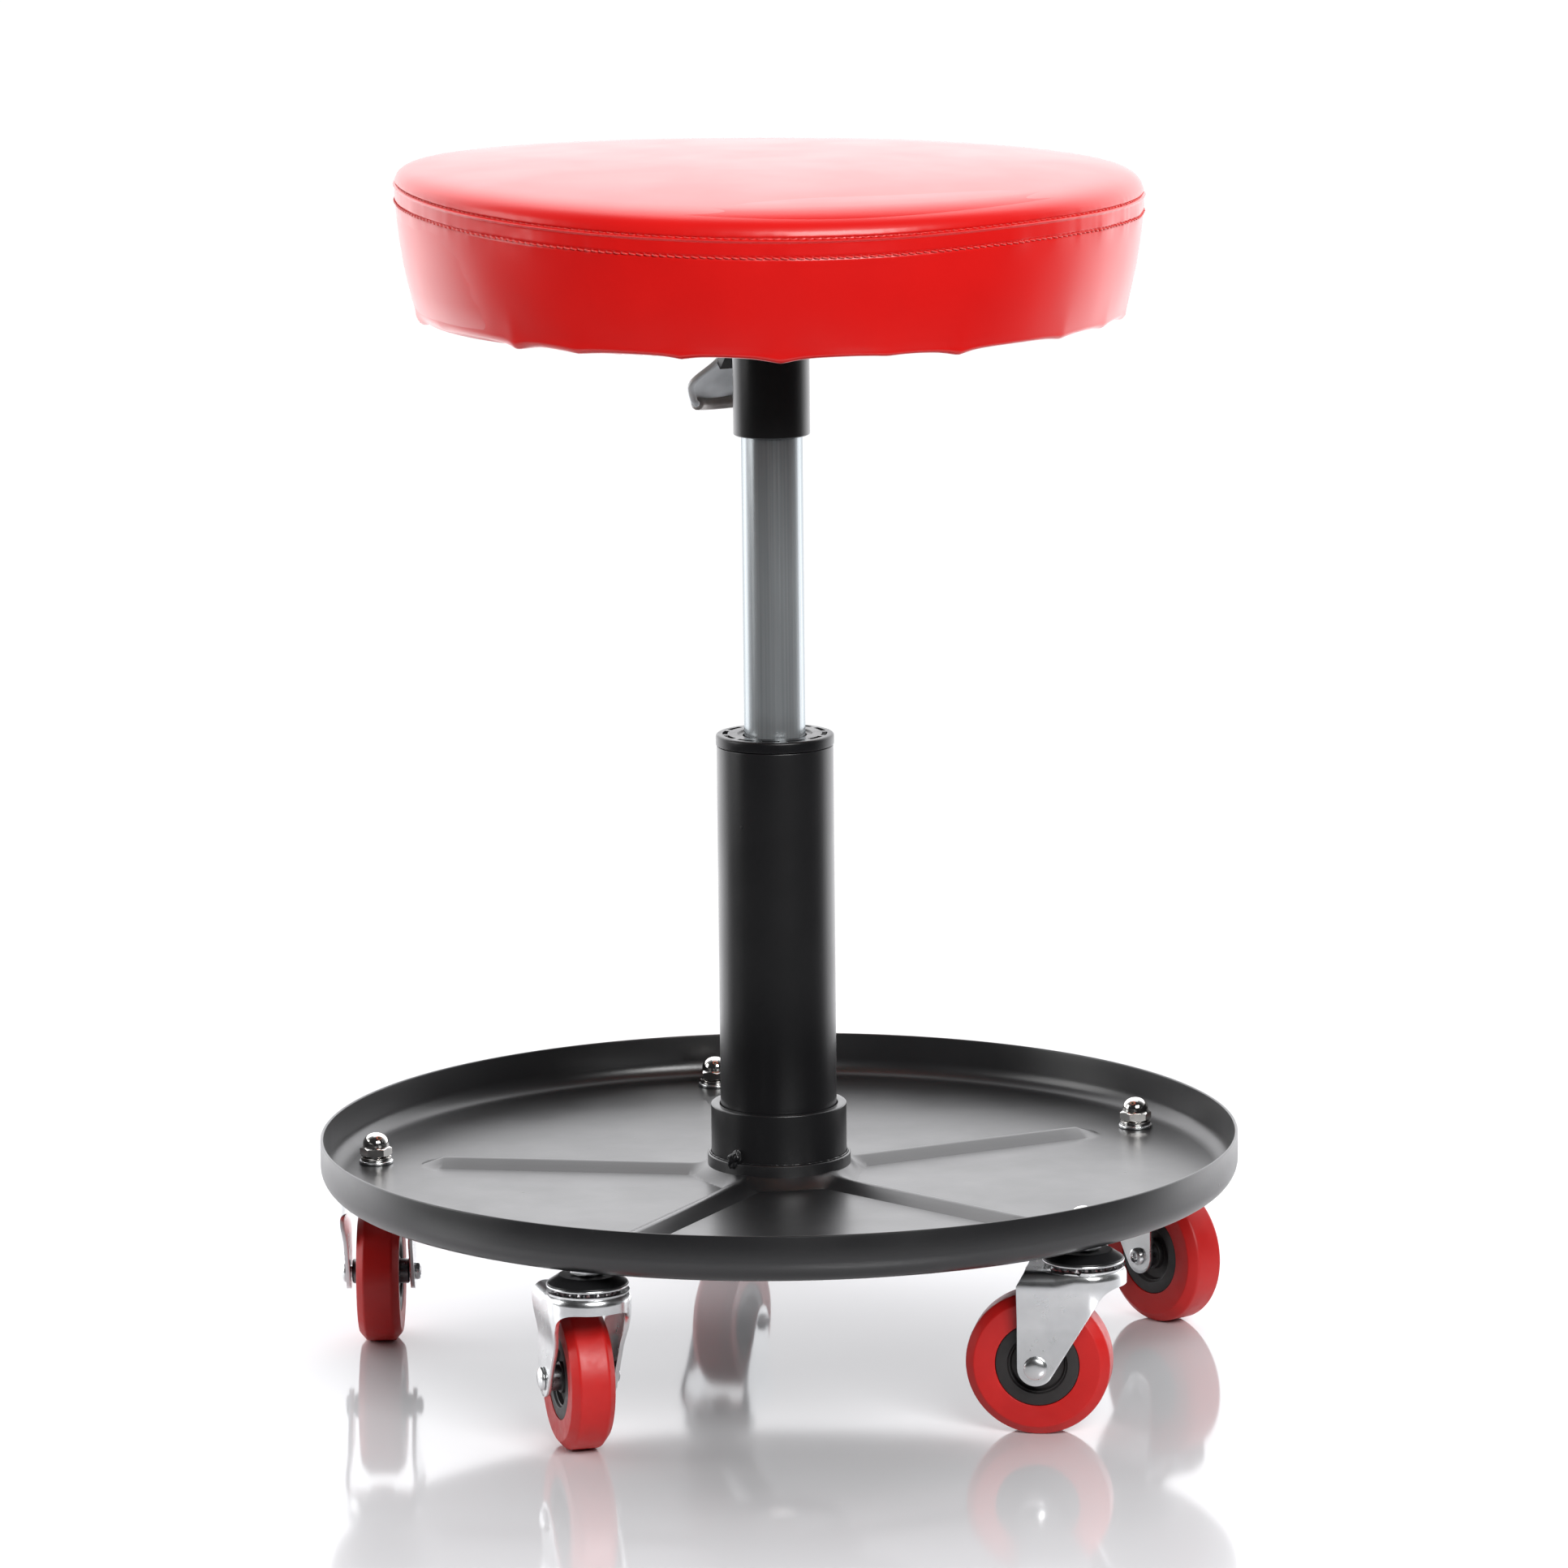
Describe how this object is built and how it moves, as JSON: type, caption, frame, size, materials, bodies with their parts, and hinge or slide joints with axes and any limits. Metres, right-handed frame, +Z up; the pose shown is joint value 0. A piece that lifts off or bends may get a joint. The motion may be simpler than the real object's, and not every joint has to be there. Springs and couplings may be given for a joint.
{
  "type": "rolling mechanic stool",
  "caption": "Rolling workshop stool: round padded seat on a gas-lift column with a release lever, over a round tool tray on five swivel casters.",
  "frame": {"origin": "on the floor, in the middle of the bounding box; the column's axis is at y = -0.0138, because the rear caster trails out past the tray", "axes": "+Z up along the column; -Y is the front, between the two front casters; +X to the right seen from the front"},
  "size_m": [0.4243, 0.4494, 0.559],
  "materials": {
    "red_vinyl": "glossy, fine grain",
    "foam": "matte",
    "plywood": "matte",
    "black_coat": "satin powder coat",
    "black_plastic": "satin",
    "hub_plastic": "satin",
    "red_rubber": "satin",
    "zinc": "dull, drawn lengthways",
    "bright_zinc": "bright zinc plate",
    "chrome": "polished",
    "steel": "dark, oiled"
  },
  "bodies": {
    "base": {"tray": "black_coat", "tray_collar": "black_coat", "column_tube": "black_coat", "column_bush": "black_plastic", "thrust_bearing": "steel", "caster_stem_rear": "steel", "race_cap_rear": "black_coat", "spring_washer_rear": "bright_zinc", "acorn_nut_rear": "chrome", "caster_stem_left": "steel", "race_cap_left": "black_coat", "spring_washer_left": "bright_zinc", "acorn_nut_left": "chrome", "caster_stem_front_left": "steel", "race_cap_front_left": "black_coat", "spring_washer_front_left": "bright_zinc", "acorn_nut_front_left": "chrome", "caster_stem_front_right": "steel", "race_cap_front_right": "black_coat", "spring_washer_front_right": "bright_zinc", "acorn_nut_front_right": "chrome", "caster_stem_right": "steel", "race_cap_right": "black_coat", "spring_washer_right": "bright_zinc", "acorn_nut_right": "chrome"},
    "strut": {"piston_rod": "bright_zinc"},
    "seat": {"gas_cylinder": "zinc", "seat_sleeve": "black_coat", "seat_plate": "black_coat", "seat_board": "plywood", "seat_foam": "foam", "seat_cover": "red_vinyl", "seat_bolt_1": "bright_zinc", "seat_bolt_2": "bright_zinc", "seat_bolt_3": "bright_zinc", "seat_bolt_4": "bright_zinc", "lever_pin": "bright_zinc"},
    "lever": {"lever_arm": "black_plastic", "lever_grip": "zinc"},
    "valve": {"release_pin": "bright_zinc"},
    "swivel_rear": {"fork_rear": "bright_zinc", "axle_rear": "bright_zinc"},
    "wheel_rear": {"hub_rear": "hub_plastic", "tyre_rear": "red_rubber"},
    "swivel_left": {"fork_left": "bright_zinc", "axle_left": "bright_zinc"},
    "wheel_left": {"hub_left": "hub_plastic", "tyre_left": "red_rubber"},
    "swivel_front_left": {"fork_front_left": "bright_zinc", "axle_front_left": "bright_zinc"},
    "wheel_front_left": {"hub_front_left": "hub_plastic", "tyre_front_left": "red_rubber"},
    "swivel_front_right": {"fork_front_right": "bright_zinc", "axle_front_right": "bright_zinc"},
    "wheel_front_right": {"hub_front_right": "hub_plastic", "tyre_front_right": "red_rubber"},
    "swivel_right": {"fork_right": "bright_zinc", "axle_right": "bright_zinc"},
    "wheel_right": {"hub_right": "hub_plastic", "tyre_right": "red_rubber"}
  },
  "joints": [
    {"name": "seat_swivel", "type": "hinge", "parent": "base", "child": "strut", "pos_m": [0, -0.0138, 0.084], "axis": [0, 0, 1], "continuous": true},
    {"name": "seat_lift", "type": "slide", "parent": "strut", "child": "seat", "axis": [0, 0, 1], "range_m": [-0.112, 0]},
    {"name": "lever_lift", "type": "hinge", "parent": "seat", "child": "lever", "pos_m": [-0.00673, 0.00819, 0.4766], "axis": [0.9563, 0.2924, 0], "range_deg": [0, 12], "stiffness_Nm_per_rad": 2, "springref_deg": -5.73},
    {"name": "valve_press", "type": "slide", "parent": "seat", "child": "valve", "axis": [0, 0, -1], "range_m": [0, 0.0049]},
    {"name": "caster_swivel_rear", "type": "hinge", "parent": "base", "child": "swivel_rear", "pos_m": [0, 0.1758, 0.078], "axis": [0, 0, 1], "continuous": true},
    {"name": "wheel_spin_rear", "type": "hinge", "parent": "swivel_rear", "child": "wheel_rear", "pos_m": [0.00969, 0.19307, 0.0325], "axis": [-0.8721, 0.4894, 0], "continuous": true},
    {"name": "caster_swivel_left", "type": "hinge", "parent": "base", "child": "swivel_left", "pos_m": [-0.18032, 0.04479, 0.078], "axis": [0, 0, 1], "continuous": true},
    {"name": "wheel_spin_left", "type": "hinge", "parent": "swivel_left", "child": "wheel_left", "pos_m": [-0.17678, 0.06427, 0.0325], "axis": [-0.9839, 0.1788, 0], "continuous": true},
    {"name": "caster_swivel_front_left", "type": "hinge", "parent": "base", "child": "swivel_front_left", "pos_m": [-0.11144, -0.16719, 0.078], "axis": [0, 0, 1], "continuous": true},
    {"name": "wheel_spin_front_left", "type": "hinge", "parent": "swivel_front_left", "child": "wheel_front_left", "pos_m": [-0.11351, -0.1475, 0.0325], "axis": [-0.9945, -0.1045, 0], "continuous": true},
    {"name": "caster_swivel_front_right", "type": "hinge", "parent": "base", "child": "swivel_front_right", "pos_m": [0.11144, -0.16719, 0.078], "axis": [0, 0, 1], "continuous": true},
    {"name": "wheel_spin_front_right", "type": "hinge", "parent": "swivel_front_right", "child": "wheel_front_right", "pos_m": [0.09262, -0.16104, 0.0325], "axis": [-0.3107, -0.9505, 0], "continuous": true},
    {"name": "caster_swivel_right", "type": "hinge", "parent": "base", "child": "swivel_right", "pos_m": [0.18032, 0.04479, 0.078], "axis": [0, 0, 1], "continuous": true},
    {"name": "wheel_spin_right", "type": "hinge", "parent": "swivel_right", "child": "wheel_right", "pos_m": [0.19004, 0.02754, 0.0325], "axis": [0.8712, 0.4909, 0], "continuous": true}
  ],
  "couplings": [
    {"joint": "valve_press", "follows": "lever_lift", "m_per_rad": 0.023}
  ]
}
